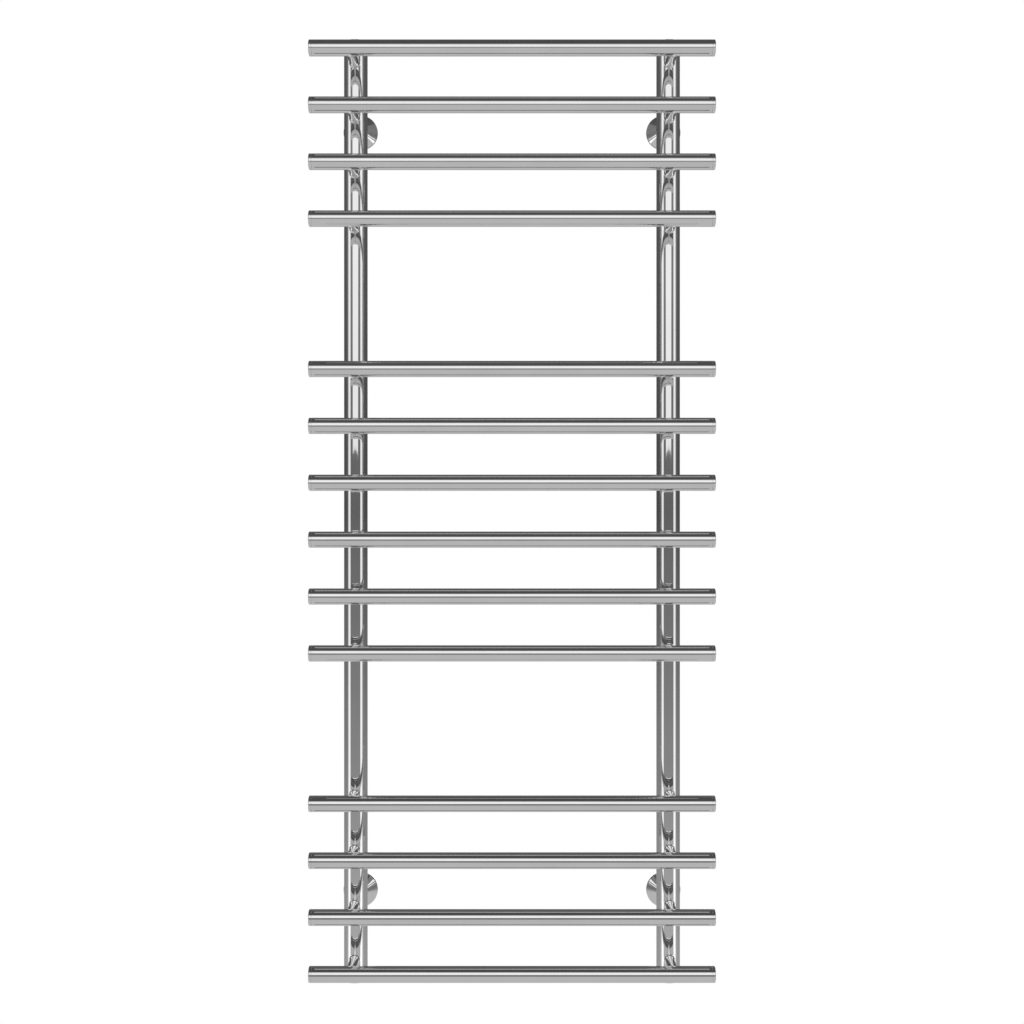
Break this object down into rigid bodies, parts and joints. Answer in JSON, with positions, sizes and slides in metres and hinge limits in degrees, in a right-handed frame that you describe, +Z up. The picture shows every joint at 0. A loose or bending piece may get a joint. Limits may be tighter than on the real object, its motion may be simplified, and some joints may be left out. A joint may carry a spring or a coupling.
{
  "type": "towel warmer rack",
  "caption": "Wall-hung polished steel towel warmer: round horizontal rails in three banks on short spigots in front of two upright collectors, with conical wall rosettes.",
  "frame": {"origin": "centre of the wall-screw pattern, in the plane of the wall: mid-height and mid-width of the rack", "axes": "+Z up along the collectors, +Y into the wall, rails face -Y, +X to the right of a person facing the rack"},
  "size_m": [0.5, 0.142, 1.2],
  "materials": {
    "rail_steel": "mirror polish",
    "cap_steel": "mirror polish",
    "collector_steel": "mirror polish",
    "spigot_steel": "mirror polish",
    "sleeve_steel": "mirror polish",
    "rosette_steel": "mirror polish",
    "port_steel": "turned",
    "base_steel": "turned satin",
    "screw_steel": "plain",
    "plated_brass": "satin plated",
    "seal_rubber": "matt"
  },
  "bodies": {
    "wall_bases": {"upper_left_wall_base": "base_steel", "upper_right_wall_base": "base_steel", "lower_left_wall_base": "base_steel", "lower_right_wall_base": "base_steel"},
    "rack": {"rail_01": "rail_steel", "rail_02": "rail_steel", "rail_03": "rail_steel", "rail_04": "rail_steel", "rail_05": "rail_steel", "rail_06": "rail_steel", "rail_07": "rail_steel", "rail_08": "rail_steel", "rail_09": "rail_steel", "rail_10": "rail_steel", "rail_11": "rail_steel", "rail_12": "rail_steel", "rail_13": "rail_steel", "rail_14": "rail_steel", "upper_left_end_caps": "cap_steel", "upper_right_end_caps": "cap_steel", "middle_left_end_caps": "cap_steel", "middle_right_end_caps": "cap_steel", "lower_left_end_caps": "cap_steel", "lower_right_end_caps": "cap_steel", "upper_left_spigots": "spigot_steel", "upper_right_spigots": "spigot_steel", "middle_left_spigots": "spigot_steel", "middle_right_spigots": "spigot_steel", "lower_left_spigots": "spigot_steel", "lower_right_spigots": "spigot_steel", "left_collector": "collector_steel", "right_collector": "collector_steel", "upper_left_port_bushing": "port_steel", "upper_right_port_bushing": "port_steel", "lower_left_port_bushing": "port_steel", "lower_right_port_bushing": "port_steel", "upper_left_sleeve": "sleeve_steel", "upper_right_sleeve": "sleeve_steel", "lower_left_sleeve": "sleeve_steel", "lower_right_sleeve": "sleeve_steel", "blank_plug": "plated_brass", "vent_plug": "plated_brass", "blank_plug_seal": "seal_rubber", "vent_plug_seal": "seal_rubber"},
    "upper_left_rosette": {"upper_left_rosette": "rosette_steel", "upper_left_rosette_seal": "seal_rubber"},
    "upper_right_rosette": {"upper_right_rosette": "rosette_steel", "upper_right_rosette_seal": "seal_rubber"},
    "lower_left_rosette": {"lower_left_rosette": "rosette_steel", "lower_left_rosette_seal": "seal_rubber"},
    "lower_right_rosette": {"lower_right_rosette": "rosette_steel", "lower_right_rosette_seal": "seal_rubber"},
    "upper_left_grub_screw": {"upper_left_grub_screw": "screw_steel"},
    "upper_right_grub_screw": {"upper_right_grub_screw": "screw_steel"},
    "lower_left_grub_screw": {"lower_left_grub_screw": "screw_steel"},
    "lower_right_grub_screw": {"lower_right_grub_screw": "screw_steel"},
    "bleed_screw": {"bleed_screw": "plated_brass"}
  },
  "joints": [
    {"name": "rack_depth", "type": "slide", "parent": "wall_bases", "child": "rack", "axis": [0, -1, 0], "range_m": [-0.0015, 0.005]},
    {"name": "upper_left_rosette_slide", "type": "slide", "parent": "wall_bases", "child": "upper_left_rosette", "axis": [0, -1, 0], "range_m": [0, 0.024]},
    {"name": "upper_right_rosette_slide", "type": "slide", "parent": "wall_bases", "child": "upper_right_rosette", "axis": [0, -1, 0], "range_m": [0, 0.024]},
    {"name": "lower_left_rosette_slide", "type": "slide", "parent": "wall_bases", "child": "lower_left_rosette", "axis": [0, -1, 0], "range_m": [0, 0.024]},
    {"name": "lower_right_rosette_slide", "type": "slide", "parent": "wall_bases", "child": "lower_right_rosette", "axis": [0, -1, 0], "range_m": [0, 0.024]},
    {"name": "upper_left_grub_turn", "type": "hinge", "parent": "rack", "child": "upper_left_grub_screw", "pos_m": [-0.2, -0.026, 0.492], "axis": [0, 0, -1], "range_deg": [0, 360]},
    {"name": "upper_right_grub_turn", "type": "hinge", "parent": "rack", "child": "upper_right_grub_screw", "pos_m": [0.2, -0.026, 0.492], "axis": [0, 0, -1], "range_deg": [0, 360]},
    {"name": "lower_left_grub_turn", "type": "hinge", "parent": "rack", "child": "lower_left_grub_screw", "pos_m": [-0.2, -0.026, -0.508], "axis": [0, 0, -1], "range_deg": [0, 360]},
    {"name": "lower_right_grub_turn", "type": "hinge", "parent": "rack", "child": "lower_right_grub_screw", "pos_m": [0.2, -0.026, -0.508], "axis": [0, 0, -1], "range_deg": [0, 360]},
    {"name": "bleed_screw_turn", "type": "hinge", "parent": "rack", "child": "bleed_screw", "pos_m": [0.2, -0.06, 0.59], "axis": [0, 0, 1], "range_deg": [0, 360]}
  ]
}
